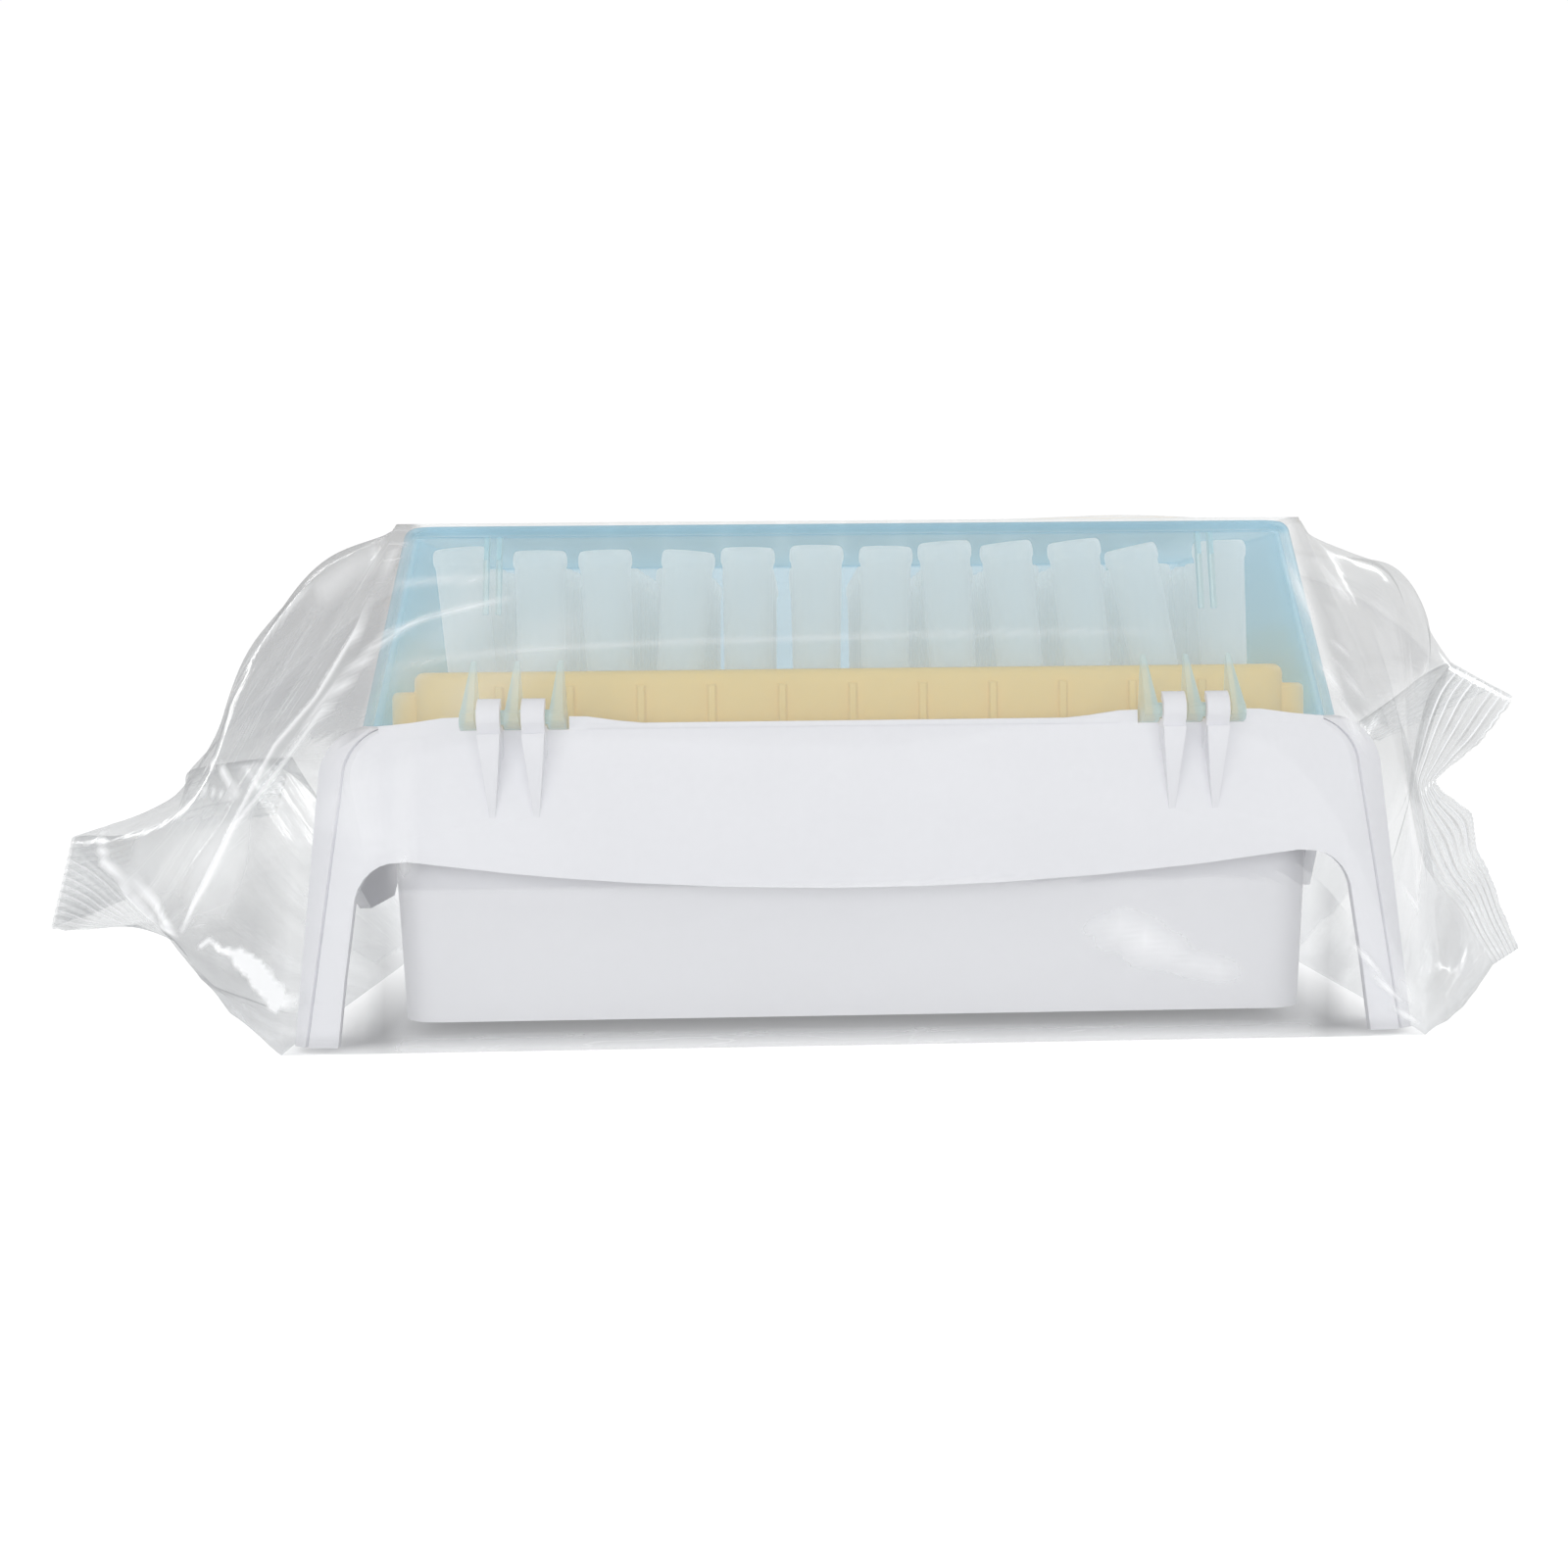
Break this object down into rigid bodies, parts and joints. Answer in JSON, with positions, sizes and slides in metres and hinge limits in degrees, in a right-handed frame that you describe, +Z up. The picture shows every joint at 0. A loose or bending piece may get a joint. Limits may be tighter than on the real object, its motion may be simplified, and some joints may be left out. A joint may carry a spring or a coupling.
{
  "type": "pipette tip box",
  "caption": "Hinged lab box of pipette tips: white base with corner legs, clear blue lid, yellow tip tray, sealed in a clear crimped film bag.",
  "frame": {"origin": "centre of the bounding box, on the surface that the wrapped box stands on", "axes": "+Z up, +X along the box towards its right end seen from the hinge side, +Y from the hinge side towards the catch"},
  "size_m": [0.2122, 0.1058, 0.0654],
  "materials": {
    "white_plastic": "fine satin moulding, opaque white polypropylene",
    "clear_blue_plastic": "smooth translucent light blue polypropylene",
    "yellow_plastic": "satin opaque pale yellow polypropylene",
    "natural_plastic": "smooth undyed translucent polypropylene",
    "clear_film": "thin glossy clear film, crimped across its end seals"
  },
  "bodies": {
    "root": {"base": "white_plastic", "lid": "clear_blue_plastic", "tip_tray": "yellow_plastic", "tip_A1": "natural_plastic", "tip_A2": "natural_plastic", "tip_A3": "natural_plastic", "tip_A4": "natural_plastic", "tip_A5": "natural_plastic", "tip_A6": "natural_plastic", "tip_A7": "natural_plastic", "tip_A8": "natural_plastic", "tip_A9": "natural_plastic", "tip_A10": "natural_plastic", "tip_A11": "natural_plastic", "tip_A12": "natural_plastic", "tip_B1": "natural_plastic", "tip_B2": "natural_plastic", "tip_B3": "natural_plastic", "tip_B4": "natural_plastic", "tip_B5": "natural_plastic", "tip_B6": "natural_plastic", "tip_B7": "natural_plastic", "tip_B8": "natural_plastic", "tip_B9": "natural_plastic", "tip_B10": "natural_plastic", "tip_B11": "natural_plastic", "tip_B12": "natural_plastic", "tip_G1": "natural_plastic", "tip_G2": "natural_plastic", "tip_G3": "natural_plastic", "tip_G4": "natural_plastic", "tip_G5": "natural_plastic", "tip_G6": "natural_plastic", "tip_G7": "natural_plastic", "tip_G8": "natural_plastic", "tip_G9": "natural_plastic", "tip_G10": "natural_plastic", "tip_G11": "natural_plastic", "tip_G12": "natural_plastic", "tip_H1": "natural_plastic", "tip_H2": "natural_plastic", "tip_H3": "natural_plastic", "tip_H4": "natural_plastic", "tip_H5": "natural_plastic", "tip_H6": "natural_plastic", "tip_H7": "natural_plastic", "tip_H8": "natural_plastic", "tip_H9": "natural_plastic", "tip_H10": "natural_plastic", "tip_H11": "natural_plastic", "tip_H12": "natural_plastic", "film_wrap": "clear_film"}
  },
  "joints": []
}
